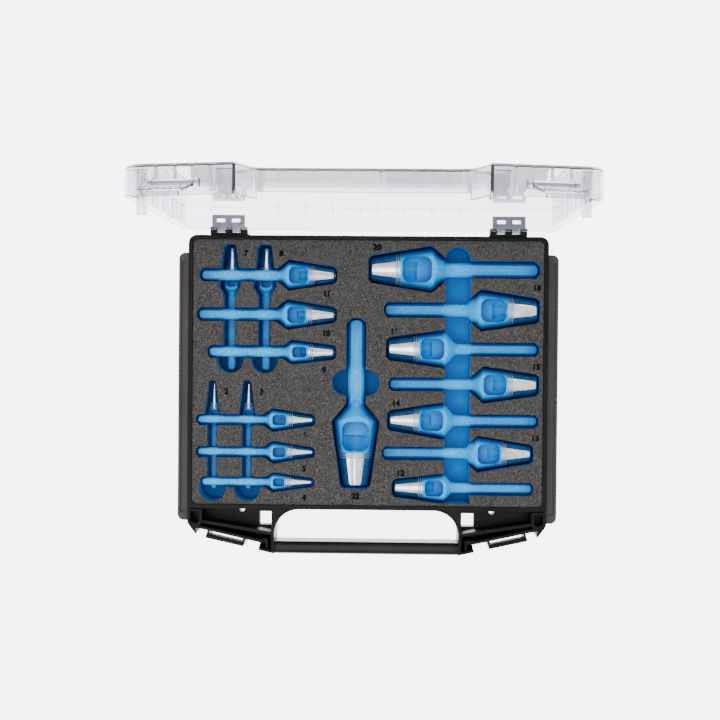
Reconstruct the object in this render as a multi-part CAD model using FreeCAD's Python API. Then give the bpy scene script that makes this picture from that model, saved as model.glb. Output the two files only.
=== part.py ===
import FreeCAD, Part
import math
import os
from collections import namedtuple

# A boxed set of eighteen drive hole punches: a black case with a clear hinged
# lid, a two-colour foam insert, and the punches lying in its pockets.
# +X is the right-hand side, -Y the front with the carry handle, +Z up.
# The origin is the centre of the case's underside. Millimetres throughout.

V = FreeCAD.Vector

# Case
caseHalfWidth = 172.5
trayBack = 155.0
trayFront = -108.0
rimHeight = 46.0
wall = 4.0
floorThickness = 2.6
cornerRadius = 8.0
edgeChamfer = 2.0

# Front blocks each side of the carry handle
blockInner = 88.5
blockCorner = (163.0, -134.5)
blockFront = -151.0
blockSide = -122.0
blockTop = 45.0
blockBottom = 5.0
blockFloor = 16.0
blockWall = 2.6
blockCornerRadius = 7.0

# Carry handle
gripDepth = 12.0
gripBottom = 10.0
gripTop = 40.0
gripRadius = 4.5
archRadius = 24.0
rimLip = 1.4

# Side rails
railWidth = 11.0
railFront = -121.0
railBack = 138.5
railBottom = 26.0
railTop = 34.0

# Foam insert
foamGap = 0.3
faceThickness = 3.0
foamTop = 44.5
pocketGap = 1.7
restGap = 0.3
recessFloor = 9.0

# Lid, designed shut and then swung open a quarter turn
lidGap = 0.3
lidTop = 69.5
lidWall = 2.4
lidHalfWidth = 177.0
lidRecess = 79.0
lidRecessFront = -117.0
recessRadius = 9.0
recessFoot = 51.5
frontRibs = [(151.5, 49.0), (137.0, 56.0), (123.5, 56.0), (110.5, 49.0)]  # (x, foot)
recessRibs = (-63.5, -38.0, -12.7, 12.7, 38.0, 63.5)
backRibs = (-86.0, -60.0, -34.0, -8.0, 8.0, 34.0, 60.0, 86.0)
hingeY = 160.0
hingeZ = 47.0
lidOpenAngle = -90.0

# Hinges
hingeAt = 133.5
hingeWidth = 36.0
knuckleRadius = 2.6
pinRadius = 1.2
runningGap = 0.07
knuckleGap = 0.35
hingePlate = 2.6
leafTop = 60.5

# Latches
latchAt = 136.5
latchHalf = 16.0
latchPinZ = 55.0
latchPinOut = 3.2
latchThickness = 2.2
latchBottom = 27.0
catchBottom = 30.0
catchBar = 3.5
catchSlot = 3.6
lugWidth = 3.0
latchOpenAngle = 75.0

# The punches. size is the diameter of the hole that one cuts; turn is the
# direction from its handle end to its cutting edge, in degrees from +X;
# (x, y) is the middle of its cutting edge; head is its widest width, and
# headBack is how far that lies behind the cutting edge.
Punch = namedtuple("Punch", "size x y turn length head headBack shank")
punches = [
    Punch(2, -149.0, 13.0, 90, 103.0, 13.0, 35.0, 5.5),
    Punch(3, -115.5, 13.0, 90, 103.0, 14.0, 35.5, 5.8),
    Punch(4, -52.5, -82.5, 0, 106.0, 16.0, 37.0, 7.0),
    Punch(5, -52.0, -53.5, 0, 111.0, 18.5, 38.0, 7.5),
    Punch(6, -52.0, -22.5, 0, 111.0, 19.5, 38.5, 7.5),
    Punch(7, -133.0, 144.5, 90, 119.0, 18.0, 38.0, 8.3),
    Punch(8, -99.5, 144.5, 90, 119.0, 19.0, 38.5, 8.5),
    Punch(9, -32.5, 43.0, 0, 120.0, 20.5, 39.5, 9.5),
    Punch(10, -32.0, 79.0, 0, 131.0, 26.0, 45.0, 10.0),
    Punch(11, -32.0, 117.0, 0, 128.5, 26.5, 43.5, 10.0),
    Punch(12, 26.5, -87.0, 180, 132.0, 26.0, 46.5, 9.5),
    Punch(13, 158.0, -53.5, 0, 142.0, 32.0, 51.0, 9.8),
    Punch(14, 21.5, -22.0, 180, 141.5, 32.5, 51.0, 9.8),
    Punch(15, 163.0, 13.0, 0, 141.0, 32.5, 51.0, 9.8),
    Punch(16, 20.0, 47.0, 180, 143.0, 33.5, 53.0, 10.0),
    Punch(18, 163.0, 84.5, 0, 146.0, 37.0, 54.0, 11.5),
    Punch(20, 2.5, 123.5, 180, 161.0, 42.0, 58.0, 13.5),
    Punch(22, -11.0, -86.0, -90, 160.5, 43.0, 62.0, 15.5),
]
headThicknessShare = 0.8
shankThicknessShare = 0.82
windowFloorShare = 0.18
upperClearance = 1.0
lowerLift = 0.4
lowerPairs = {7: (9, 10, 11), 8: (9, 10, 11), 2: (4, 5, 6), 3: (4, 5, 6)}

# Finger recesses in the foam: (x, y, radius)
roundRecesses = [
    (86.5, 132.5, 12.5),
    (-132.0, 35.5, 13.0),
    (-99.0, 35.5, 13.0),
    (-148.5, -88.5, 13.0),
    (-115.0, -88.5, 13.0),
]
stadiumAt = (-11.0, 14.0)
stadiumHalf = 10.5
stadiumRadius = 12.5
channelLeft, channelRight = 74.5, 99.0
channelFront = -101.0


def export(name, shape):
    """Writes one sub-part, after checking that it is one sound solid."""
    shape = shape.removeSplitter()
    if not shape.isValid() or len(shape.Solids) != 1:
        raise ValueError(f"{name} isn't one sound solid")
    shape.Solids[0].exportStep(f"parts/{name}.step")


def block(x0, x1, y0, y1, z0, z1):
    """A box between the given limits."""
    return Part.makeBox(x1 - x0, y1 - y0, z1 - z0, V(x0, y0, z0))


def prism(points, z0, z1):
    """A closed outline of (x, y) points, raised from z0 to z1."""
    loop = [V(x, y, z0) for x, y in points]
    return Part.Face(Part.makePolygon(loop + loop[:1])).extrude(V(0, 0, z1 - z0))


def uprightEdges(shape, wanted=lambda x, y: True):
    """The edges that run straight up, at the places that are wanted."""
    found = []
    for edge in shape.Edges:
        a, b = edge.Vertexes[0].Point, edge.Vertexes[-1].Point
        if abs(a.x - b.x) < 1e-6 and abs(a.y - b.y) < 1e-6 and abs(a.z - b.z) > 1e-6:
            if wanted(a.x, a.y):
                found.append(edge)
    return found


def levelEdges(shape, z):
    """The edges that lie wholly at height z."""
    return [e for e in shape.Edges if all(abs(v.Z - z) < 1e-6 for v in e.Vertexes)]


def roundedBlock(x0, x1, y0, y1, z0, z1, radius):
    """A box whose upright edges are rounded."""
    box = block(x0, x1, y0, y1, z0, z1)
    return box.makeFillet(radius, uprightEdges(box))


def mirrored(points, side):
    """Points given for the right-hand side, put on the side asked for."""
    return [(side * x, y) for x, y in points]


def opened(shape):
    """Swings a lid piece from its shut place to its open one."""
    turned = shape.copy()
    turned.rotate(V(0, hingeY, hingeZ), V(1, 0, 0), lidOpenAngle)
    return turned


def alongX(radius, x0, x1, y, z):
    """A cylinder lying along X."""
    return Part.makeCylinder(radius, x1 - x0, V(x0, y, z), V(1, 0, 0))


# --- the case -------------------------------------------------------------

frontAngle = math.degrees(
    math.atan2(blockFront - blockCorner[1], blockInner - blockCorner[0])
)
frontTilt = 180 + frontAngle if frontAngle < -90 else frontAngle


def frontY(x):
    """Where the slanted front of a block lies at a distance x from the middle."""
    run = (blockCorner[0] - x) / (blockCorner[0] - blockInner)
    return blockCorner[1] + run * (blockFront - blockCorner[1])


def atLatch(shape, side):
    """Places a shape made in a latch's own axes: X along the front, -Y outward."""
    placed = shape.copy()
    placed.rotate(V(0, 0, 0), V(0, 0, 1), side * frontTilt)
    placed.translate(V(side * latchAt, frontY(latchAt), 0))
    return placed


def blockOutline(inset):
    """The outline of the right-hand front block, drawn in by inset."""
    return [
        (blockInner + inset, trayFront + wall),
        (blockInner + inset, frontY(blockInner) + inset * 1.1),
        (blockCorner[0] - inset * 0.4, blockCorner[1] + inset),
        (caseHalfWidth - inset, blockSide + inset * 0.4),
        (caseHalfWidth - inset, trayFront + wall),
    ]


def frontBlock(side):
    """One front block: a hollow shell with a ridge, sockets and a latch catch."""
    body = prism(mirrored(blockOutline(0), side), blockBottom, blockTop)
    body = body.makeFillet(
        blockCornerRadius, uprightEdges(body, lambda x, y: abs(x) > 160 and y < blockSide + 1)
    )
    inside = prism(mirrored(blockOutline(blockWall), side), blockFloor, blockTop)
    body = body.cut(inside)
    ridge = [
        (blockInner + 1, frontY(blockInner) + 17.0),
        (blockInner + 1, frontY(blockInner) + 20.0),
        (159.0, -120.0),
        (159.0, -123.0),
    ]
    body = body.fuse(prism(mirrored(ridge, side), blockFloor - 1, blockTop - 5))
    tab = block(95.0, 104.0, -147.0, -137.5, blockFloor - 1, blockTop - 5)
    tab = tab.cut(block(97.0, 102.0, -149.0, -141.0, blockFloor, blockTop))
    body = body.fuse(tab if side > 0 else tab.mirror(V(0, 0, 0), V(1, 0, 0)))
    catchBack = catchBar + catchSlot
    backWall = block(-33, 36, catchBack, catchBack + blockWall, blockBottom, blockTop - 1.5)
    seat = block(-latchHalf - 3, latchHalf + 3, 0.4, catchBack + 1, blockBottom, blockTop - 4)
    body = body.fuse([atLatch(backWall, side), atLatch(seat, side)])
    corner = [(158.5, -109.0), (158.5, -122.0), (165.0, -128.5), (171.0, -121.0), (171.0, -109.0)]
    return body.fuse(prism(mirrored(corner, side), blockFloor - 1, blockTop - 1))


def setBacks(side):
    """The steps in a block's front that leave the catch bar standing proud."""
    post = latchHalf + 2.8
    depth = catchBar + catchSlot
    toCorner = block(-28.5, -post, -4, depth, 0, rimHeight)
    toHandle = block(post, 33.5, -4, depth, 0, rimHeight)
    if side > 0:
        toCorner = block(post, 28.5, -4, depth, 0, rimHeight)
        toHandle = block(-33.5, -post, -4, depth, 0, rimHeight)
    return [atLatch(toCorner, side), atLatch(toHandle, side)]


def blockCuts(side):
    """What is cut through a front block: sockets, the drain and the catch slot."""
    socket = block(93.0, 105.0, -127.0, -114.0, 0, rimHeight)
    drain = Part.makeCylinder(2.6, rimHeight, V(122.5, -112.2, 0))
    corner = [
        (161.0, -111.0),
        (161.0, -120.5),
        (163.5, -123.0),
        (169.5, -121.0),
        (169.5, -111.0),
    ]
    holes = socket.fuse([drain, prism(corner, 26.0, rimHeight)])
    if side < 0:
        holes = holes.mirror(V(0, 0, 0), V(1, 0, 0))
    slot = block(-latchHalf - 0.6, latchHalf + 0.6, catchBar, catchBar + catchSlot, 0, rimHeight)
    under = block(-latchHalf - 0.6, latchHalf + 0.6, -3, catchBar + 0.1, 0, catchBottom)
    return holes.fuse([atLatch(slot, side), atLatch(under, side)] + setBacks(side))


def baseShell():
    """The black case: the tray, its front blocks and the arch of the handle."""
    tray = block(-caseHalfWidth, caseHalfWidth, trayFront, trayBack, 0, rimHeight)
    tray = tray.makeFillet(cornerRadius, uprightEdges(tray, lambda x, y: y > 0))
    tray = tray.makeChamfer(edgeChamfer, levelEdges(tray, 0))
    shell = tray.fuse([frontBlock(1), frontBlock(-1)])
    arch = [
        (blockInner, trayFront + 1),
        (blockInner, trayFront - archRadius),
        (blockInner - archRadius, trayFront + 1),
    ]
    hollow = Part.makeCylinder(
        archRadius, rimHeight, V(blockInner - archRadius, trayFront - archRadius, 0)
    )
    web = prism(arch, blockBottom, blockTop).cut(hollow)
    lip = Part.makeCylinder(
        archRadius + rimLip, 1.0, V(blockInner - archRadius, trayFront - archRadius, blockTop)
    ).cut(hollow)
    lip = lip.common(prism(arch, blockBottom, rimHeight))
    shell = shell.fuse([web, web.mirror(V(0, 0, 0), V(1, 0, 0))])
    shell = shell.fuse([lip, lip.mirror(V(0, 0, 0), V(1, 0, 0))])
    cavity = roundedBlock(
        wall - caseHalfWidth,
        caseHalfWidth - wall,
        trayFront + wall,
        trayBack - wall,
        floorThickness,
        rimHeight + 1,
        cornerRadius - wall + 1,
    )
    shell = shell.cut(cavity)
    shell = shell.cut(blockCuts(1)).cut(blockCuts(-1))
    step = block(-hingeWidth / 2, hingeWidth / 2, trayBack - 1.2, trayBack + 1, 30, rimHeight + 1)
    for side in (-1, 1):
        notch = step.copy()
        notch.translate(V(side * hingeAt, 0, 0))
        shell = shell.cut(notch)
    return shell


def handleGrip():
    """The grip bar between the front blocks, rounded for the hand."""
    y0 = frontY(blockInner) - 1.0
    bar = block(-blockInner, blockInner, y0, y0 + gripDepth, gripBottom, gripTop)
    long = [e for e in bar.Edges if abs(abs(e.tangentAt(e.FirstParameter).x) - 1) < 1e-6]
    bar = bar.makeFillet(gripRadius, long)
    seams = []
    for side in (-1, 1):
        x = side * (blockInner - 1.6)
        ring = block(x - 0.4, x + 0.4, y0 - 1, y0 + gripDepth + 1, gripBottom - 1, gripTop + 1)
        core = block(
            x - 0.5, x + 0.5, y0 + 0.5, y0 + gripDepth - 0.5, gripBottom + 0.5, gripTop - 0.5
        )
        seams.append(ring.cut(core))
    return bar.cut(seams)


def sideRail(side):
    """A guide rail that runs along the side of the case."""
    x0 = caseHalfWidth
    rail = block(x0, x0 + railWidth, railFront, railBack, railBottom, railTop)
    rail = rail.makeFillet(6.0, uprightEdges(rail, lambda x, y: x > x0 + 1))
    groove = block(x0 + 3.0, x0 + railWidth - 2.5, railFront + 8, railBack - 8, railTop - 2.0, railTop + 1)
    rail = rail.cut(groove)
    return rail if side > 0 else rail.mirror(V(0, 0, 0), V(1, 0, 0))


# --- the punches ------------------------------------------------------------


def windowLength(p):
    return 0.67 * p.head


def windowWidth(p):
    return p.head * (0.6 if p.size >= 10 else 0.5)


def shoulderLength(p):
    return 0.36 * p.head + 1.5


def headThickness(p):
    return headThicknessShare * p.head


def shankThickness(p):
    return shankThicknessShare * p.shank


def axisHeight(p):
    """Height of a punch's axis: just under the foam's face, or under others."""
    if p.size not in lowerPairs:
        return foamTop - upperClearance - headThickness(p) / 2
    above = [q for q in punches if q.size in lowerPairs[p.size]]
    lowest = min(axisHeight(q) - shankThickness(q) / 2 for q in above)
    return lowest - lowerLift - headThickness(p) / 2


def place(shape, p):
    """Moves a shape from a punch's own axes to its place in the case.

    Its own X runs from the cutting edge, at 0, towards the handle, at +length.
    """
    placed = shape.copy()
    placed.rotate(V(0, 0, 0), V(0, 0, 1), p.turn + 180)
    placed.translate(V(p.x, p.y, axisHeight(p)))
    return placed


def tipRadius(p):
    return (1.12 * p.size + 1.2) / 2


def headBody(p):
    """The turned cone and the flared shoulder, pressed flat above and below."""
    edge = p.size / 2 + 0.25
    shoulder = p.headBack + shoulderLength(p)
    outline = [
        V(0, 0, 0),
        V(0, edge, 0),
        V(1.2, tipRadius(p), 0),
        V(p.headBack, p.head / 2, 0),
        V(p.headBack + 2.0, p.head / 2 - 0.3, 0),
        V(shoulder - 2.5, p.shank / 2 + 1.2, 0),
        V(shoulder + 3.0, p.shank / 2 - 0.6, 0),
        V(shoulder + 3.0, 0, 0),
    ]
    turned = Part.Face(Part.makePolygon(outline + outline[:1]))
    turned = turned.revolve(V(0, 0, 0), V(1, 0, 0), 360)
    half = headThickness(p) / 2
    sides = p.head
    return turned.common(block(-1, p.length, -sides, sides, -half, half))


def shankBody(p):
    """The flat shank with bevelled edges and a rounded end."""
    start = p.headBack + shoulderLength(p) - 3.0
    w, t = p.shank / 2, shankThickness(p) / 2
    bar = block(start, p.length, -w, w, -t, t)
    bevel = 0.16 * p.shank
    long = [e for e in bar.Edges if abs(abs(e.tangentAt(e.FirstParameter).x) - 1) < 1e-6]
    bar = bar.makeChamfer(bevel, long)
    end = Part.makeCylinder(w, 2 * t, V(p.length - w, 0, -t))
    middle = block(start - 1, p.length - w, -w, w, -t, t)
    return bar.common(middle.fuse(end))


def punchSolid(p):
    """One punch, forged in one piece, with its window, bore and three rings."""
    body = headBody(p).fuse(shankBody(p))
    back = p.headBack + 0.5
    front = back - windowLength(p)
    half = windowWidth(p) / 2
    floor = -windowFloorShare * headThickness(p)
    window = roundedBlock(front, back, -half, half, floor, p.head, 0.6 * half)
    boreEnd = front + 0.5 * windowLength(p)
    bore = Part.makeCone(
        p.size / 2, p.size / 2 * 1.08, boreEnd, V(-0.001, 0, 0), V(1, 0, 0)
    )
    body = body.cut(window.fuse(bore))
    slope = (p.head / 2 - tipRadius(p)) / (p.headBack - 1.2)
    for k in range(3):
        x = front - 1.6 - 1.9 * k
        reach = tipRadius(p) + slope * (x - 1.2)
        ring = Part.makeCylinder(reach + 2, 0.6, V(x - 0.3, 0, 0), V(1, 0, 0))
        core = Part.makeCylinder(reach - 0.3, 0.6, V(x - 0.3, 0, 0), V(1, 0, 0))
        body = body.cut(ring.cut(core))
    return place(body, p)


# --- the foam ---------------------------------------------------------------


def outlineOf(p):
    """The plan outline of a punch in its own axes, from tip to handle end."""
    shoulder = p.headBack + shoulderLength(p)
    w, h, tip = p.shank / 2, p.head / 2, tipRadius(p)
    corner = min(0.35 * tip, 2.2)
    half = [(-0.6, tip - corner), (corner - 0.6, tip), (p.headBack, h), (shoulder, w)]
    half += [(p.length - w * 0.5, w), (p.length, w * 0.4)]
    return half + [(x, -y) for x, y in reversed(half)]


def pocket(p, depth, start, stop):
    """A pocket around a punch's outline, down to a depth below its axis."""
    loop = [V(x, y, -depth) for x, y in outlineOf(p)]
    wide = Part.makePolygon(loop + loop[:1]).makeOffset2D(pocketGap, 0)
    solid = Part.Face(wide).extrude(V(0, 0, depth + foamTop))
    reach = p.head
    return place(solid.common(block(start, stop, -reach, reach, -depth - 1, foamTop * 2)), p)


def pocketsOf(p):
    """The two levels of a punch's pocket: deep at its head, shallow at its shank."""
    shoulder = p.headBack + shoulderLength(p) + 3.6
    head = pocket(p, headThickness(p) / 2 + restGap, -5, shoulder)
    shank = pocket(p, shankThickness(p) / 2 + restGap, shoulder - 0.01, p.length + 5)
    return [head, shank]


def recesses():
    """The finger recesses, which reach deeper than the shanks beside them."""
    found = [
        Part.makeCylinder(r, foamTop, V(x, y, recessFloor)) for x, y, r in roundRecesses
    ]
    x, y = stadiumAt
    found += [
        Part.makeCylinder(stadiumRadius, foamTop, V(x + s * stadiumHalf, y, recessFloor))
        for s in (-1, 1)
    ]
    found.append(
        block(
            x - stadiumHalf, x + stadiumHalf, y - stadiumRadius, y + stadiumRadius,
            recessFloor, foamTop + 1,
        )
    )
    found.append(
        block(channelLeft, channelRight, channelFront, roundRecesses[0][1], recessFloor, foamTop + 1)
    )
    return found


def foamBlock(z0, z1):
    """A sheet of foam that fills the tray between two heights."""
    inset = wall + foamGap
    return roundedBlock(
        inset - caseHalfWidth,
        caseHalfWidth - inset,
        trayFront + inset,
        trayBack - inset,
        z0,
        z1,
        cornerRadius - wall + 1 - foamGap,
    )


def foamSheets():
    """The blue base foam and the grey face foam, cut to the same pockets."""
    cuts = recesses()
    for p in punches:
        cuts += pocketsOf(p)
    split = foamTop - faceThickness
    blue = foamBlock(floorThickness + 0.1, split)
    grey = foamBlock(split, foamTop)
    for cut in cuts:
        blue = blue.cut(cut)
        grey = grey.cut(cut)
    return blue, grey


# --- the lid ----------------------------------------------------------------


def lidOutline(inset):
    """The lid's outline, drawn in by inset, for the whole width."""
    overhang = lidHalfWidth - caseHalfWidth
    shoulder, corner = blockInner + 3.0, blockCorner[0] + overhang
    right = [
        (lidRecess + inset, lidRecessFront + inset),
        (shoulder + inset, frontY(shoulder) + inset),
        (corner - inset * 0.4, frontY(corner) + inset),
        (lidHalfWidth - inset, blockSide + inset * 0.4),
        (lidHalfWidth - inset, trayBack - inset),
    ]
    return right + [(-x, y) for x, y in reversed(right)]


def lidCorners(x, y):
    return y > 0 or abs(x) > blockInner + 20


def recessCorners(x, y):
    return abs(x) < blockInner - 4


def lidShell():
    """The clear lid: skin, walls, stiffening ribs, locating pegs and latch lugs."""
    rim = rimHeight + lidGap
    outer = prism(lidOutline(0), rim, lidTop)
    outer = outer.makeFillet(cornerRadius, uprightEdges(outer, lidCorners))
    outer = outer.makeFillet(recessRadius, uprightEdges(outer, recessCorners))
    outer = outer.makeChamfer(1.6, levelEdges(outer, lidTop))
    inner = prism(lidOutline(lidWall), rim - 1, lidTop - lidWall)
    inner = inner.makeFillet(cornerRadius - lidWall, uprightEdges(inner, lidCorners))
    inner = inner.makeFillet(recessRadius + lidWall, uprightEdges(inner, recessCorners))
    lid = outer.cut(inner)
    ribs = []
    for side in (-1, 1):
        for y in (-70, -20, 30, 80, 125):
            x = side * (lidHalfWidth - lidWall - 2.0)
            ribs.append(block(x - 2.4, x + 2.4, y - 0.8, y + 0.8, rim + 1, lidTop - 1))
        for x, foot in frontRibs:
            y = frontY(x)
            ribs.append(block(side * x - 0.7, side * x + 0.7, y + 1.5, y + 9, foot, lidTop - 1))
        tower = block(93.0, 108.0, -129.0, -112.5, rim + 1, lidTop - 1)
        tower = tower.cut(block(94.6, 106.4, -127.4, -114.1, rim, lidTop - 3))
        ribs.append(tower if side > 0 else tower.mirror(V(0, 0, 0), V(1, 0, 0)))
        peg = roundedBlock(161.6, 168.9, -119.8, -112.2, 34.0, lidTop - 1, 1.2)
        peg = peg.cut(block(163.4, 167.1, -118.0, -114.0, 30.0, lidTop - 4))
        tie = block(168.0, lidHalfWidth - 1, -117.0, -115.0, rim + 2, lidTop - 1)
        for piece in (peg, tie):
            ribs.append(piece if side > 0 else piece.mirror(V(0, 0, 0), V(1, 0, 0)))
        flange = block(
            lidHalfWidth - 9.5, lidHalfWidth - 1, blockSide + 3, trayBack - 9, rim, rim + 1.8
        )
        ribs.append(flange if side > 0 else flange.mirror(V(0, 0, 0), V(1, 0, 0)))
    for x in recessRibs:
        y = lidRecessFront
        ribs.append(block(x - 0.7, x + 0.7, y + 1, y + 6, lidTop - 8, lidTop - 1))
    for x in backRibs:
        ribs.append(block(x - 0.7, x + 0.7, trayBack - 7, trayBack - 1, lidTop - 8, lidTop - 1))
    lid = lid.fuse(ribs)
    foot = block(-lidRecess, lidRecess, lidRecessFront - 20, lidRecessFront + 8, rim - 1, recessFoot)
    lid = lid.cut(foot)
    for side in (-1, 1):
        for s in (-1, 1):
            inner, outer = latchHalf + 0.4, latchHalf + 0.4 + lugWidth
            x0, x1 = (inner, outer) if s > 0 else (-outer, -inner)
            lug = block(x0, x1, -latchPinOut - 2.6, 0.6, latchPinZ - 3, latchPinZ + 3)
            lug = lug.makeFillet(1.5, [
                e for e in lug.Edges
                if all(abs(v.Y + latchPinOut + 2.6) < 1e-6 for v in e.Vertexes)
                and abs(e.Vertexes[0].Z - e.Vertexes[-1].Z) < 1e-6
            ])
            lug = lug.cut(alongX(pinRadius, x0 - 1, x1 + 1, -latchPinOut, latchPinZ))
            lid = lid.fuse(atLatch(lug, side))
    return opened(lid)


def latch():
    """A latch flap in its own axes, swung out, with the hook that grips the catch."""
    inside = -(latchPinOut - knuckleRadius)
    plate = block(
        -latchHalf, latchHalf, inside - latchThickness, inside, latchBottom, latchPinZ
    )
    outside = inside - latchThickness
    hook = block(
        -latchHalf + 2, latchHalf - 2, inside - 0.5, catchBar - 0.8, latchBottom, catchBottom - 0.7
    )
    grip = block(-latchHalf, latchHalf, outside - 1.6, inside - 0.2, latchBottom, latchBottom + 3)
    knuckle = alongX(knuckleRadius, -latchHalf, latchHalf, -latchPinOut, latchPinZ)
    flap = plate.fuse([hook, grip, knuckle])
    for k in range(-2, 3):
        x = k * 5.0
        groove = block(x - 0.8, x + 0.8, outside - 0.1, outside + 0.6, 33.0, 45.0)
        flap = flap.cut(groove)
    bore = alongX(pinRadius + runningGap, -latchHalf - 1, latchHalf + 1, -latchPinOut, latchPinZ)
    flap = flap.cut(bore)
    flap.rotate(V(0, -latchPinOut, latchPinZ), V(1, 0, 0), -latchOpenAngle)
    return flap


def latchPin():
    reach = latchHalf + 0.4 + lugWidth
    return alongX(pinRadius, -reach, reach, -latchPinOut, latchPinZ)


# --- the hinges ---------------------------------------------------------------

bays = 5
bayWidth = hingeWidth / bays


def bay(k):
    """The start and end of one of the hinge's knuckles."""
    start = -hingeWidth / 2 + k * bayWidth
    return start + knuckleGap / 2, start + bayWidth - knuckleGap / 2


def hingeBracket():
    """The black half of a hinge, let into the back of the case."""
    y0 = trayBack - 1.2
    half = hingeWidth / 2
    plate = block(-half, half, y0, y0 + hingePlate, 30, rimHeight - 2)
    arms = []
    for k in range(0, bays, 2):
        x0, x1 = bay(k)
        arms.append(block(x0, x1, y0 + hingePlate - 0.6, hingeY, rimHeight - 6, hingeZ + 1.6))
        arms.append(alongX(knuckleRadius, x0, x1, hingeY, hingeZ))
    coverBack = hingeY - knuckleRadius - 0.2
    cover = block(-half, half, trayBack + 0.3, coverBack, rimHeight - 6, hingeZ + 0.4)
    bracket = plate.fuse(arms + [cover])
    pinHole = alongX(pinRadius, -half - 1, half + 1, hingeY, hingeZ)
    return bracket.cut(pinHole)


def hingeLeaf():
    """The lid's half of a hinge, a windowed plate with two knuckles."""
    half = hingeWidth / 2 - 2.4
    plate = block(-half, half, trayBack, trayBack + hingePlate, hingeZ + 1.9, leafTop)
    for x in (-7.2, 7.2):
        window = block(x - 4.0, x + 4.0, trayBack - 1, hingeY, 53.5, 57.0)
        plate = plate.cut(window)
    arms = []
    for k in range(1, bays, 2):
        x0, x1 = bay(k)
        arms.append(block(x0, x1, trayBack, hingeY, hingeZ + 1.0, hingeZ + 4.4))
        arms.append(alongX(knuckleRadius, x0, x1, hingeY, hingeZ))
    leaf = plate.fuse(arms)
    return leaf.cut(alongX(pinRadius + runningGap, -half - 9, half + 9, hingeY, hingeZ))


def hingePin():
    return alongX(pinRadius, -hingeWidth / 2, hingeWidth / 2, hingeY, hingeZ)


# --- everything ---------------------------------------------------------------

os.makedirs("parts", exist_ok=True)
export("base_shell", baseShell())
export("handle_grip", handleGrip())
blueFoam, greyFoam = foamSheets()
export("foam_base", blueFoam)
faces = sorted(greyFoam.Solids, key=lambda s: -s.Volume)
export("foam_face", faces[0])
patches = sorted(faces[1:], key=lambda s: (-s.CenterOfMass.y, s.CenterOfMass.x))
for number, patch in enumerate(patches, 1):
    export(f"foam_patch_{number}", patch)
for punch in punches:
    export(f"punch_{punch.size:02d}", punchSolid(punch))
export("lid_shell", lidShell())
for name, side in (("left", -1), ("right", 1)):
    export(f"side_rail_{name}", sideRail(side))
    export(f"latch_{name}", opened(atLatch(latch(), side)))
    export(f"latch_pin_{name}", opened(atLatch(latchPin(), side)))
    shift = V(side * hingeAt, 0, 0)
    for part, made in (("bracket", hingeBracket()), ("pin", hingePin())):
        made.translate(shift)
        export(f"hinge_{part}_{name}", made)
    leaf = hingeLeaf()
    leaf.translate(shift)
    export(f"hinge_leaf_{name}", opened(leaf))
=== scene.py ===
import bmesh
import bpy
import math
from mathutils import Euler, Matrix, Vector


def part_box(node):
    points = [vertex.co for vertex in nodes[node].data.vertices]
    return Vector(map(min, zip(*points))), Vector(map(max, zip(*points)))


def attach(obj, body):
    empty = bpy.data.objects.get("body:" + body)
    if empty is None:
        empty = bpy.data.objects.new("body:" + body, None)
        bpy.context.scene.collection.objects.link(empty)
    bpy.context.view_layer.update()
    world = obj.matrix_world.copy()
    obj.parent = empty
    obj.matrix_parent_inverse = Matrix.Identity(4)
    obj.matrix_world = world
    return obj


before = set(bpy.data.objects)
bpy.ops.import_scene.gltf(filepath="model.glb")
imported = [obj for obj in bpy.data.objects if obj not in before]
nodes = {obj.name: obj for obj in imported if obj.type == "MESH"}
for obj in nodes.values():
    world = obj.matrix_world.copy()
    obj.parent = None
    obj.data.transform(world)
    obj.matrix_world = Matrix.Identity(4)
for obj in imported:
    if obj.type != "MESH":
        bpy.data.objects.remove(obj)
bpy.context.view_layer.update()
mm = 0.001
print("stage: frame loaded")


def colour(code):
    # an sRGB hex colour as linear RGBA
    parts = [int(code[i : i + 2], 16) / 255 for i in (1, 3, 5)]
    return [p / 12.92 if p <= 0.04045 else ((p + 0.055) / 1.055) ** 2.4 for p in parts] + [1]


def perMetre(period):
    # the texture scale that puts its features this many mm apart
    return 1 / (period * mm)


def newMaterial(name):
    material = bpy.data.materials.new(name)
    material.use_nodes = True
    material.node_tree.nodes.clear()
    return material


def node(owner, kind, inputs=(), **settings):
    # inputs are keyed by name or number, or stand in the node's own order
    # each is a value, a socket, or a node, which gives its first output in use
    made = owner.node_tree.nodes.new(kind)
    for key, value in settings.items():
        setattr(made, key, value)
    keyed = inputs.items() if isinstance(inputs, dict) else enumerate(inputs)
    for key, value in keyed:
        if isinstance(value, bpy.types.Node):
            value = next(output for output in value.outputs if output.enabled)
        if isinstance(value, bpy.types.NodeSocket):
            owner.node_tree.links.new(value, made.inputs[key])
        else:
            made.inputs[key].default_value = value
    return made


def nearEdge(m, rounded, turn):
    # 1 on a sharp edge, 0 on the flat beside it, from how far the softened normal turns
    true = node(m, "ShaderNodeNewGeometry").outputs["Normal"]
    apart = node(m, "ShaderNodeVectorMath", (rounded, true), operation="DOT_PRODUCT")
    return node(m, "ShaderNodeMapRange", (apart, *turn))


def hollows(m, reach, span):
    # 1 on open faces, falling to 0 in corners narrower than reach, in mm: the mask that lays
    # painted shade into corners and pockets
    shade = node(m, "ShaderNodeAmbientOcclusion", {"Distance": reach * mm}, samples=4)
    return node(m, "ShaderNodeMapRange", (shade.outputs["AO"], *span))


def surface(m, inputs):
    shader = node(m, "ShaderNodeBsdfPrincipled", inputs)
    node(m, "ShaderNodeOutputMaterial", {"Surface": shader})


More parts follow.
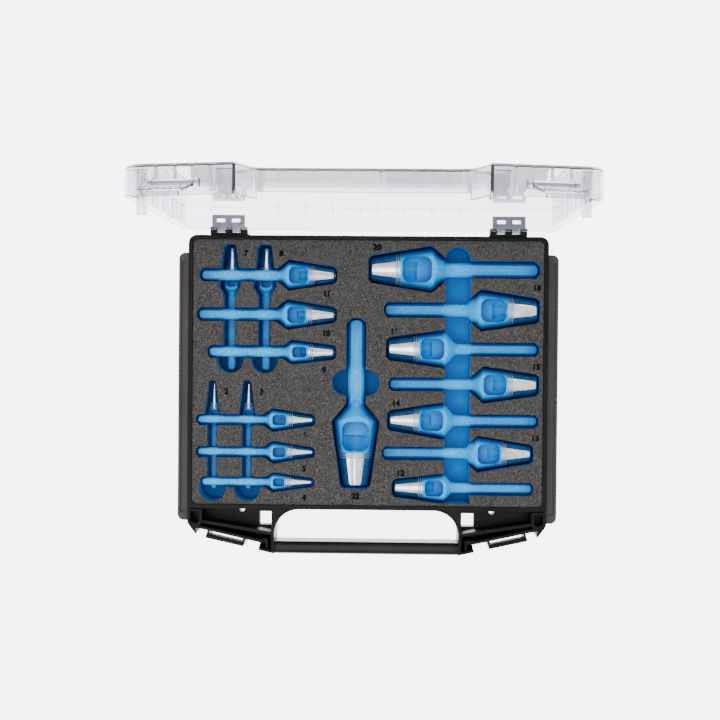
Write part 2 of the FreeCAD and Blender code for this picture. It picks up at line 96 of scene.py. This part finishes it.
plasticLook = {
    "edgeRadius": 0.5,  # mm, the soft edge that the mould leaves
    "edgeTurn": (0.995, 0.9),  # cosines where the rubbing starts and is full
    "scuffPeriod": 6.0,
    "scuffSpan": (0.4, 0.7),
    "cloudPeriod": 40.0,
    "cloudSpan": (0.3, 0.7),
    "cloudShare": 0.3,
    "grainSpan": (0.3, 0.7),
    "grainDepth": 0.02,
    "grainRough": (-0.05, 0.08),  # added to the gloss, in the grain's hollows and on top
    "rubbedShare": 0.5,
    "rubbedGloss": 0.12,
}


def mouldedPlastic(name, base, worn, grain, gloss, sheen):
    # injection-moulded ABS: a spark-eroded grain, and edges that hands have rubbed paler
    look = plasticLook
    m = newMaterial(name)
    point = node(m, "ShaderNodeTexCoord").outputs["Object"]
    fine = node(m, "ShaderNodeTexNoise", {"Vector": point, "Scale": perMetre(grain)})
    cloud = node(
        m,
        "ShaderNodeTexNoise",
        {"Vector": point, "Scale": perMetre(look["cloudPeriod"]), "Detail": 3.0},
    )
    scuff = node(
        m,
        "ShaderNodeTexNoise",
        {"Vector": point, "Scale": perMetre(look["scuffPeriod"]), "Detail": 3.0},
    )
    rounded = node(m, "ShaderNodeBevel", {"Radius": look["edgeRadius"] * mm}, samples=4)
    edge = nearEdge(m, rounded, look["edgeTurn"])
    scuffs = node(m, "ShaderNodeMapRange", (scuff, *look["scuffSpan"]))
    rubbed = node(m, "ShaderNodeMath", (edge, scuffs), operation="MULTIPLY")
    paler = node(m, "ShaderNodeMath", (rubbed, look["rubbedShare"]), operation="MULTIPLY")
    clouds = node(m, "ShaderNodeMapRange", (cloud, *look["cloudSpan"], 0.0, look["cloudShare"]))
    tone = node(
        m, "ShaderNodeMix", {0: clouds, 6: colour(base), 7: colour(worn)}, data_type="RGBA"
    )
    tone = node(m, "ShaderNodeMix", {0: paler, 6: tone, 7: colour(worn)}, data_type="RGBA")
    roughSpan = [gloss + change for change in look["grainRough"]]
    grained = node(m, "ShaderNodeMapRange", (fine, *look["grainSpan"], *roughSpan))
    rough = node(m, "ShaderNodeMath", (grained, rubbed), operation="SUBTRACT")
    glossiest = gloss - look["rubbedGloss"]
    surface(
        m,
        {
            "Base Color": tone,
            "Roughness": node(m, "ShaderNodeMath", (rough, glossiest), operation="MAXIMUM"),
            "Specular IOR Level": sheen,
            "Normal": node(
                m,
                "ShaderNodeBump",
                {"Height": fine, "Distance": look["grainDepth"] * mm, "Normal": rounded},
            ),
        },
    )
    return m


clearLook = {
    "tint": "#E2E3E8",
    "edge": "#4A4C55",  # painted shade: the edges are tinted grey, standing in for the light that the sheet pipes away
    "edgeRadius": 0.8,
    "edgeTurn": (0.995, 0.88),
    "flowPeriod": 9.0,  # mm between the flow lines, across the flow
    "flowStretch": 0.12,
    "flowDepth": 0.05,
    "scratchPeriod": 0.6,
    "scratchSpan": (0.45, 0.75),
    "scratchRough": 0.04,
    "ior": 1.585,
}


def clearPlastic(name):
    # moulded polycarbonate: faint flow lines and a fine haze of scratches
    look = clearLook
    m = newMaterial(name)
    point = node(m, "ShaderNodeTexCoord").outputs["Object"]
    stretch = (1.0, look["flowStretch"], look["flowStretch"])
    stretched = node(m, "ShaderNodeMapping", {"Vector": point, "Scale": stretch})
    flow = node(
        m, "ShaderNodeTexNoise", {"Vector": stretched, "Scale": perMetre(look["flowPeriod"])}
    )
    scratch = node(
        m,
        "ShaderNodeTexNoise",
        {
            "Vector": stretched,
            "Scale": perMetre(look["scratchPeriod"]),
            "Detail": 4.0,
            "Roughness": 0.7,
        },
    )
    rounded = node(m, "ShaderNodeBevel", {"Radius": look["edgeRadius"] * mm}, samples=4)
    edge = nearEdge(m, rounded, look["edgeTurn"])
    tint = colour(look["tint"])
    shader = node(
        m,
        "ShaderNodeBsdfPrincipled",
        {
            # painted shade: grey mixed in along the sharp edges
            "Base Color": node(
                m, "ShaderNodeMix", {0: edge, 6: tint, 7: colour(look["edge"])}, data_type="RGBA"
            ),
            "Roughness": node(
                m, "ShaderNodeMapRange", (scratch, *look["scratchSpan"], 0.0, look["scratchRough"])
            ),
            "Transmission Weight": 1.0,
            "IOR": look["ior"],
            "Normal": node(
                m,
                "ShaderNodeBump",
                {"Height": flow, "Distance": look["flowDepth"] * mm, "Normal": rounded},
            ),
        },
    )
    # lamps reach what is behind the plastic
    through = node(m, "ShaderNodeBsdfTransparent", {"Color": tint})
    path = node(m, "ShaderNodeLightPath").outputs
    lit = node(
        m,
        "ShaderNodeMath",
        (path["Is Shadow Ray"], path["Is Diffuse Ray"]),
        operation="MAXIMUM",
    )
    both = node(m, "ShaderNodeMixShader", (lit, shader, through))
    node(m, "ShaderNodeOutputMaterial", {"Surface": both})
    return m


blackCase = mouldedPlastic("black_abs_eroded", "#09090A", "#252528", 0.35, 0.34, 0.08)
blackGrip = mouldedPlastic("black_abs_handled", "#09090A", "#2A2A2E", 0.5, 0.26, 0.14)
greyRail = mouldedPlastic("dark_grey_abs_eroded", "#363638", "#4E4E51", 0.35, 0.45, 0.2)
greyHinge = mouldedPlastic("grey_polyamide_moulded", "#8A8E98", "#AEB2BC", 0.3, 0.35, 0.4)
clearLid = clearPlastic("clear_polycarbonate_moulded")
print("stage: plastics")


greyFoamLook = {
    "cell": 0.75,  # mm, drawn coarser than the real 0.3 mm cells so that they show
    "cells": ("#262524", "#4E4C4A"),
    "fleck": "#656260",
    "fleckSpan": (0.8, 0.95),
    "pore": "#151413",
    "poreSpan": (0.75, 0.95),
    "cloud": "#4B4947",
    "cloudPeriod": 18.0,
    "cloudSpan": (0.35, 0.65),
    "cloudShare": 0.25,
    "finePeriod": 0.5,
    "depth": 0.1,
    "edgeRadius": 0.5,
}


def greyFoam():
    # closed-cell polyethylene with a split skin: fine pale and dark flecks, no gloss
    look = greyFoamLook
    m = newMaterial("grey_polyethylene_foam_split")
    point = node(m, "ShaderNodeTexCoord").outputs["Object"]
    cells = node(m, "ShaderNodeTexVoronoi", {"Vector": point, "Scale": perMetre(look["cell"])})
    parts = node(m, "ShaderNodeSeparateColor", (cells.outputs["Color"],)).outputs
    dark, pale = (colour(code) for code in look["cells"])
    tone = node(m, "ShaderNodeMix", {0: parts[0], 6: dark, 7: pale}, data_type="RGBA")
    for part, code, span in ((1, "fleck", "fleckSpan"), (2, "pore", "poreSpan")):
        share = node(m, "ShaderNodeMapRange", (parts[part], *look[span]))
        tone = node(
            m, "ShaderNodeMix", {0: share, 6: tone, 7: colour(look[code])}, data_type="RGBA"
        )
    cloud = node(
        m, "ShaderNodeTexNoise", {"Vector": point, "Scale": perMetre(look["cloudPeriod"])}
    )
    share = node(m, "ShaderNodeMapRange", (cloud, *look["cloudSpan"], 0.0, look["cloudShare"]))
    tone = node(
        m, "ShaderNodeMix", {0: share, 6: tone, 7: colour(look["cloud"])}, data_type="RGBA"
    )
    fine = node(
        m,
        "ShaderNodeTexNoise",
        {"Vector": point, "Scale": perMetre(look["finePeriod"]), "Detail": 3.0},
    )
    height = node(m, "ShaderNodeMath", (cells.outputs["Distance"], fine), operation="ADD")
    rounded = node(m, "ShaderNodeBevel", {"Radius": look["edgeRadius"] * mm}, samples=4)
    surface(
        m,
        {
            "Base Color": tone,
            "Roughness": 0.92,
            "Specular IOR Level": 0.2,
            "Normal": node(
                m,
                "ShaderNodeBump",
                {"Height": height, "Distance": look["depth"] * mm, "Normal": rounded},
            ),
        },
    )
    return m


blueFoamLook = {
    "cells": ("#008CDE", "#00A2F6"),
    "cellPeriod": 0.6,
    "cellSpan": (0.35, 0.7),
    # painted shade: darker blue for the foam's pockets and corners
    "hollow": "#00478E",
    "shadeReach": 22.0,
    "shadeSpan": (0.1, 0.8),
    "cutterStep": 1.6,  # mm between two passes of the cutter
    "cutterShare": 1.2,
    "depth": 0.08,
    "edgeRadius": 0.6,
}


def blueFoam():
    # milled polyethylene foam: cut cells, and faint steps left by the cutter
    look = blueFoamLook
    m = newMaterial("blue_polyethylene_foam_milled")
    point = node(m, "ShaderNodeTexCoord").outputs["Object"]
    cell = node(
        m,
        "ShaderNodeTexNoise",
        {
            "Vector": point,
            "Scale": perMetre(look["cellPeriod"]),
            "Detail": 4.0,
            "Roughness": 0.6,
        },
    )
    # a wave texture of scale 1 repeats every 20 / (2 pi) units
    steps = node(
        m,
        "ShaderNodeTexWave",
        {
            "Vector": point,
            "Scale": 2 * math.pi / 20 * perMetre(look["cutterStep"]),
            "Distortion": 0.4,
            "Detail": 1.0,
        },
    ).outputs["Fac"]
    cellShare = node(m, "ShaderNodeMapRange", (cell, *look["cellSpan"]))
    dark, pale = (colour(code) for code in look["cells"])
    tone = node(m, "ShaderNodeMix", {0: cellShare, 6: dark, 7: pale}, data_type="RGBA")
    # painted shade: the foam is darkened in pockets and corners where little light reaches
    lightShare = hollows(m, look["shadeReach"], look["shadeSpan"])
    tone = node(
        m, "ShaderNodeMix", {0: lightShare, 6: colour(look["hollow"]), 7: tone}, data_type="RGBA"
    )
    raised = node(m, "ShaderNodeMath", (steps, look["cutterShare"]), operation="MULTIPLY")
    height = node(m, "ShaderNodeMath", (raised, cell), operation="ADD")
    rounded = node(m, "ShaderNodeBevel", {"Radius": look["edgeRadius"] * mm}, samples=4)
    surface(
        m,
        {
            "Base Color": tone,
            "Roughness": 0.5,
            "Specular IOR Level": 0.15,
            "Normal": node(
                m,
                "ShaderNodeBump",
                {"Height": height, "Distance": look["depth"] * mm, "Normal": rounded},
            ),
        },
    )
    return m


faceFoam, baseFoam = greyFoam(), blueFoam()
print("stage: foam")


wireLook = {
    "steel": "#B9BBC0",
    "lineStretch": 0.05,  # the draw lines run along the wire
    "linePeriod": 0.15,
    "lineSpan": (0.3, 0.7),
    "rough": (0.22, 0.4),
    "depth": 0.01,
}


def drawnSteel():
    # wire drawn through a die: bright, with fine lines along it
    look = wireLook
    m = newMaterial("drawn_steel_wire")
    point = node(m, "ShaderNodeTexCoord").outputs["Object"]
    stretch = (look["lineStretch"], 1.0, 1.0)
    stretched = node(m, "ShaderNodeMapping", {"Vector": point, "Scale": stretch})
    line = node(
        m,
        "ShaderNodeTexNoise",
        {"Vector": stretched, "Scale": perMetre(look["linePeriod"]), "Detail": 3.0},
    )
    surface(
        m,
        {
            "Base Color": colour(look["steel"]),
            "Metallic": 1.0,
            "Roughness": node(m, "ShaderNodeMapRange", (line, *look["lineSpan"], *look["rough"])),
            "Normal": node(
                m, "ShaderNodeBump", {"Height": line, "Distance": look["depth"] * mm}
            ),
        },
    )
    return m


punchLook = {
    "lacquer": ("#009EEC", "#08B8FF"),  # in the hollows of the forging, on its high spots
    "steel": ("#C4C7CC", "#E9EAED"),
    "steelPeriod": 5.0,
    "steelSpan": (0.3, 0.7),
    "etch": "#A9DDF8",
    # painted shade for the enamel in hollows and windows
    "enamelShade": "#0052A8",
    "enamelShadeReach": 14.0,
    "enamelShadeSpan": (0.2, 0.85),
    "turnedRings": 0.5,  # mm between the marks of the turning tool
    "turnedShare": 0.012,
    "forgedPeriod": 2.6,
    "forgedSpan": (0.35, 0.7),
    "forgedShare": 2.0,
    "orangePeel": 0.7,
    "depth": 0.04,
    "edgeRadius": 0.6,
    "rough": (0.12, 0.33),  # of the polished steel and of the enamel
    "raggedPeriod": 1.5,
    "raggedBy": 0.4,  # mm by which the enamel's border wanders
    "borderSoft": 0.25,
    "borderBefore": 0.8,  # mm from the window to the enamel's border
    "bandRows": (1.6, 3.5, 5.4),  # mm from the window to each turned groove
    "bandWidth": 0.7,
    "bandSoft": 0.12,
    "bandShare": 0.75,
    "etchStart": 12.0,  # mm behind the shoulder
    "etchEnd": 66.0,
    "etchEndSoft": 2.0,
    "etchHalfWidth": 1.5,
    "etchSideSoft": 0.4,
    "etchFacing": (0.9, 0.98),
    "etchPeriod": 1.1,
    "etchSpan": (0.5, 0.6),
    "etchShare": 0.5,
}


def within(m, value, start, end, soft):
    # 1 between start and end, with soft edges
    rise = node(m, "ShaderNodeMapRange", (value, start - soft, start))
    fall = node(m, "ShaderNodeMapRange", (value, end + soft, end))
    return node(m, "ShaderNodeMath", (rise, fall), operation="MULTIPLY")


def enamelMask(m, point, back, window):
    # 1 on enamel and 0 on bare steel, with the enamel left in three turned grooves
    look = punchLook
    wander = node(
        m,
        "ShaderNodeTexNoise",
        {"Vector": point, "Scale": perMetre(look["raggedPeriod"]), "Detail": 3.0},
    )
    wander = node(m, "ShaderNodeMath", (wander, look["raggedBy"] * mm), operation="MULTIPLY")
    ragged = node(m, "ShaderNodeMath", (back, wander), operation="ADD")
    border = window - look["borderBefore"] * mm
    mask = node(m, "ShaderNodeMapRange", (ragged, border, border + look["borderSoft"] * mm))
    half = look["bandWidth"] / 2 * mm
    for row in look["bandRows"]:
        middle = window - row * mm
        band = within(m, back, middle - half, middle + half, look["bandSoft"] * mm)
        band = node(m, "ShaderNodeMath", (band, look["bandShare"]), operation="MULTIPLY")
        mask = node(m, "ShaderNodeMath", (mask, band), operation="MAXIMUM")
    return mask


def shankMarks(m, point, back, across, shoulder):
    # a rolled-in row of pale marks along the shank, too worn to make out
    look = punchLook
    upward = node(m, "ShaderNodeTexCoord").outputs["Normal"]
    facing = node(m, "ShaderNodeSeparateXYZ", (upward,)).outputs["Z"]
    start, end = (shoulder + look[key] * mm for key in ("etchStart", "etchEnd"))
    half = look["etchHalfWidth"] * mm
    worn = node(
        m,
        "ShaderNodeTexNoise",
        {
            "Vector": point,
            "Scale": perMetre(look["etchPeriod"]),
            "Detail": 3.0,
            "Roughness": 0.7,
        },
    )
    row = within(m, back, start, end, look["etchEndSoft"] * mm)
    for limit in (
        within(m, across, -half, half, look["etchSideSoft"] * mm),
        node(m, "ShaderNodeMapRange", (facing, *look["etchFacing"])),
        node(m, "ShaderNodeMapRange", (worn, *look["etchSpan"])),
        look["etchShare"],
    ):
        row = node(m, "ShaderNodeMath", (row, limit), operation="MULTIPLY")
    return row


def punchFinish(name, tip, along, window, shoulder):
    # stove enamel over a forging, stopping at a turned and polished cone
    look = punchLook
    m = newMaterial(f"blue_enamel_and_polished_steel_{name}")
    point = node(m, "ShaderNodeTexCoord").outputs["Object"]
    side = Vector((-along.y, along.x, 0))
    away = node(m, "ShaderNodeVectorMath", (point, tip), operation="SUBTRACT")
    back = node(m, "ShaderNodeVectorMath", (away, -along), operation="DOT_PRODUCT")
    across = node(m, "ShaderNodeVectorMath", (away, side), operation="DOT_PRODUCT")
    enamelled = enamelMask(m, point, back, window)

    forged = node(
        m,
        "ShaderNodeTexNoise",
        {
            "Vector": point,
            "Scale": perMetre(look["forgedPeriod"]),
            "Detail": 3.0,
            "Roughness": 0.55,
        },
    )
    raised = node(m, "ShaderNodeMapRange", (forged, *look["forgedSpan"]))
    hollow, high = (colour(code) for code in look["lacquer"])
    enamel = node(m, "ShaderNodeMix", {0: raised, 6: hollow, 7: high}, data_type="RGBA")
    marks = shankMarks(m, point, back, across, shoulder)
    enamel = node(
        m, "ShaderNodeMix", {0: marks, 6: enamel, 7: colour(look["etch"])}, data_type="RGBA"
    )
    # painted shade: the enamel is darkened in the hollows and the window, where little light
    # reaches
    lightShare = hollows(m, look["enamelShadeReach"], look["enamelShadeSpan"])
    enamel = node(
        m, "ShaderNodeMix", {0: lightShare, 6: colour(look["enamelShade"]), 7: enamel}, data_type="RGBA"
    )

    streak = node(
        m,
        "ShaderNodeTexNoise",
        {"Vector": point, "Scale": perMetre(look["steelPeriod"]), "Detail": 3.0},
    )
    streaks = node(m, "ShaderNodeMapRange", (streak, *look["steelSpan"]))
    dull, bright = (colour(code) for code in look["steel"])
    steel = node(m, "ShaderNodeMix", {0: streaks, 6: dull, 7: bright}, data_type="RGBA")

    ringPhase = 2 * math.pi * perMetre(look["turnedRings"])
    turned = node(m, "ShaderNodeMath", (back, ringPhase), operation="MULTIPLY")
    turned = node(m, "ShaderNodeMath", (turned,), operation="SINE")
    turned = node(m, "ShaderNodeMath", (turned, look["turnedShare"]), operation="MULTIPLY")
    peel = node(
        m, "ShaderNodeTexNoise", {"Vector": point, "Scale": perMetre(look["orangePeel"])}
    )
    uneven = node(m, "ShaderNodeMath", (forged, look["forgedShare"]), operation="MULTIPLY")
    uneven = node(m, "ShaderNodeMath", (uneven, peel), operation="ADD")
    height = node(m, "ShaderNodeMix", {0: enamelled, 2: turned, 3: uneven})
    rounded = node(m, "ShaderNodeBevel", {"Radius": look["edgeRadius"] * mm}, samples=4)
    surface(
        m,
        {
            "Base Color": node(
                m, "ShaderNodeMix", {0: enamelled, 6: steel, 7: enamel}, data_type="RGBA"
            ),
            "Metallic": node(m, "ShaderNodeMath", (1.0, enamelled), operation="SUBTRACT"),
            "Roughness": node(m, "ShaderNodeMapRange", (enamelled, 0.0, 1.0, *look["rough"])),
            "Specular IOR Level": 0.13,
            "Normal": node(
                m,
                "ShaderNodeBump",
                {"Height": height, "Distance": look["depth"] * mm, "Normal": rounded},
            ),
        },
    )
    return m


pinSteel = drawnSteel()
print("stage: steel")


finishOf = {
    "base_shell": blackCase,
    "handle_grip": blackGrip,
    "foam_base": baseFoam,
    "foam_face": faceFoam,
    "lid_shell": clearLid,
}
finishOf.update({f"foam_patch_{k}": faceFoam for k in range(1, 5)})
for side in ("left", "right"):
    finishOf[f"side_rail_{side}"] = greyRail
    finishOf[f"hinge_bracket_{side}"] = blackCase
    finishOf[f"hinge_leaf_{side}"] = greyHinge
    finishOf[f"latch_{side}"] = clearLid
    finishOf[f"latch_pin_{side}"] = pinSteel
    finishOf[f"hinge_pin_{side}"] = pinSteel


def setFinish(name, material):
    mesh = nodes[name].data
    mesh.materials.clear()
    mesh.materials.append(material)


for name, material in finishOf.items():
    setFinish(name, material)

towardRight = Vector((1, 0, 0))
towardBack = Vector((0, 1, 0))
# which way each size of punch points
pointing = {
    2: towardBack, 3: towardBack, 7: towardBack, 8: towardBack, 22: -towardBack,
    4: towardRight, 5: towardRight, 6: towardRight, 9: towardRight, 10: towardRight,
    11: towardRight, 13: towardRight, 15: towardRight, 18: towardRight,
    12: -towardRight, 14: -towardRight, 16: -towardRight, 20: -towardRight,
}
windowShare = 0.67  # the window's length over the head's width
shoulderShare = 0.36
for size, along in pointing.items():
    name = f"punch_{size:02d}"
    a, b = (Vector(v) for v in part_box(name))
    tip = (a + b) / 2 + along * abs((b - a).dot(along)) / 2
    side = Vector((-along.y, along.x, 0))
    # the widest place of the head, and how far behind the cutting edge it lies
    spread = [
        (abs((v.co - tip).dot(side)), (tip - v.co).dot(along)) for v in nodes[name].data.vertices
    ]
    halfHead, headBack = max(spread)
    window = headBack - 2 * halfHead * windowShare
    shoulder = headBack + 2 * halfHead * shoulderShare
    setFinish(name, punchFinish(name, tip, along, window, shoulder))
print("stage: finishes")


inkLook = {
    "ink": ("#040404", "#121110"),  # whole, and worn thin
    "wearPeriod": 0.8,
    "wearSpan": (0.4, 0.7),
}
ink = newMaterial("black_screen_ink")
inkPoint = node(ink, "ShaderNodeTexCoord").outputs["Object"]
wear = node(
    ink,
    "ShaderNodeTexNoise",
    {"Vector": inkPoint, "Scale": perMetre(inkLook["wearPeriod"]), "Detail": 3.0},
)
wear = node(ink, "ShaderNodeMapRange", (wear, *inkLook["wearSpan"]))
whole, thin = (colour(code) for code in inkLook["ink"])
surface(
    ink,
    {
        "Base Color": node(ink, "ShaderNodeMix", {0: wear, 6: whole, 7: thin}, data_type="RGBA"),
        "Roughness": 0.85,
        "Specular IOR Level": 0.03,
    },
)

numeral = {
    "height": 5.2,  # mm
    "capShare": 0.7,  # a capital's height over the font's size
    "thickness": 0.05,
    "bolder": 0.38,
    "lift": 0.2,  # mm over the foam, clear of its grain
    "at": {
        # size: (x, y) in mm
        2: (-135.5, 4.5), 3: (-101.5, 4.5), 4: (-60.0, -97.0), 5: (-60.0, -69.0),
        6: (-59.5, -37.0), 7: (-117.5, 137.5), 8: (-83.5, 137.5), 9: (-41.5, 26.0),
        10: (-40.0, 61.0), 11: (-39.5, 99.0), 12: (32.5, -72.5), 13: (161.0, -38.0),
        14: (27.5, -5.5), 15: (161.5, 30.5), 16: (25.5, 63.5), 18: (161.5, 106.0),
        20: (8.5, 144.0), 22: (-10.5, -95.0),
    },
}
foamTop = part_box("foam_face")[1][2]
for size, (x, y) in numeral["at"].items():
    curve = bpy.data.curves.new(f"numeral_{size:02d}", "FONT")
    curve.body = str(size)
    curve.size = numeral["height"] * mm / numeral["capShare"]
    curve.align_x = "CENTER"
    curve.align_y = "CENTER"
    curve.extrude = numeral["thickness"] * mm
    curve.offset = numeral["bolder"] * mm
    curve.materials.append(ink)
    mark = bpy.data.objects.new(f"numeral_{size:02d}", curve)
    mark.location = (x * mm, y * mm, foamTop + numeral["lift"] * mm)
    bpy.context.collection.objects.link(mark)
    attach(mark, "case")
print("stage: numerals")


studio = {
    "floorSize": 40.0,
    "floorGlow": 5.0,  # the sweep is opal acrylic, lit from below
    "acrylic": ("#F6F6F6", "#FAFAFA"),
    "acrylicPeriod": 30.0,
    "skyBright": 1.6,
    "skyLow": 0.3,
    "skySpan": (0.35, 0.7),  # sines of the heights between which the dome brightens
    "horizonGlow": 5.4,  # the sweep carries on up behind the table and fades out
    "horizonSpan": (0.03, 0.2),
    "panels": {
        # name: (place, aim, size, brightness)
        "top_panel": ((-0.25, -0.15, 1.9), (0.0, 0.0, 0.0), (1.3, 1.0), 3.8),
        "left_panel": ((-1.5, -0.6, 1.1), (0.0, 0.0, 0.0), (0.6, 1.2), 3.0),
        "back_panel": ((0.3, 1.8, 1.2), (0.0, 0.1, 0.1), (1.4, 0.6), 2.0),
    },
}

acrylic = newMaterial("white_opal_acrylic_cast")
acrylicPoint = node(acrylic, "ShaderNodeTexCoord").outputs["Object"]
cloud = node(
    acrylic,
    "ShaderNodeTexNoise",
    {"Vector": acrylicPoint, "Scale": perMetre(studio["acrylicPeriod"]), "Detail": 3.0},
)
dim, clean = (colour(code) for code in studio["acrylic"])
surface(
    acrylic,
    {
        "Base Color": node(
            acrylic, "ShaderNodeMix", {0: cloud, 6: dim, 7: clean}, data_type="RGBA"
        ),
        "Roughness": 0.7,
        "Emission Color": colour("#FFFFFF"),
        "Emission Strength": studio["floorGlow"],
    },
)
sheet = bpy.data.meshes.new("floor")
grid = bmesh.new()
bmesh.ops.create_grid(grid, x_segments=1, y_segments=1, size=studio["floorSize"] / 2)
grid.to_mesh(sheet)
grid.free()
sheet.materials.append(acrylic)
floor = bpy.data.objects.new("floor", sheet)
bpy.context.collection.objects.link(floor)

for name, (place, aim, (width, depth), brightness) in studio["panels"].items():
    lamp = bpy.data.lights.new(name, "AREA")
    lamp.shape = "RECTANGLE"
    lamp.size, lamp.size_y = width, depth
    lamp.energy = brightness * math.pi * width * depth
    panel = bpy.data.objects.new(name, lamp)
    panel.location = place
    panel.rotation_euler = (Vector(aim) - Vector(place)).to_track_quat("-Z", "Y").to_euler()
    bpy.context.collection.objects.link(panel)

world = bpy.data.worlds.new("studio_dome")
world.use_nodes = True
world.node_tree.nodes.clear()
direction = node(world, "ShaderNodeTexCoord").outputs["Generated"]
up = node(world, "ShaderNodeSeparateXYZ", (direction,)).outputs["Z"]
dome = node(
    world,
    "ShaderNodeMapRange",
    (up, *studio["skySpan"], studio["skyLow"], studio["skyBright"]),
)
glow = node(
    world, "ShaderNodeMapRange", (up, *studio["horizonSpan"], studio["horizonGlow"], 0.0)
)
strength = node(world, "ShaderNodeMath", (dome, glow), operation="ADD")
sky = node(world, "ShaderNodeBackground", {"Color": (1, 1, 1, 1), "Strength": strength})
node(world, "ShaderNodeOutputWorld", {"Surface": sky})
bpy.context.scene.world = world

cameraView = {
    "lens": 64.7,  # mm
    "place": (0.0178, 0.054, 1.2854),
    "tilt": (-0.82, 1.16, 0.48),  # degrees from straight down
}
lens = bpy.data.cameras.new("camera")
lens.lens = cameraView["lens"]
camera = bpy.data.objects.new("camera", lens)
camera.location = cameraView["place"]
camera.rotation_euler = Euler([math.radians(angle) for angle in cameraView["tilt"]])
bpy.context.collection.objects.link(camera)
bpy.context.scene.camera = camera
print("stage: floor, light and camera")
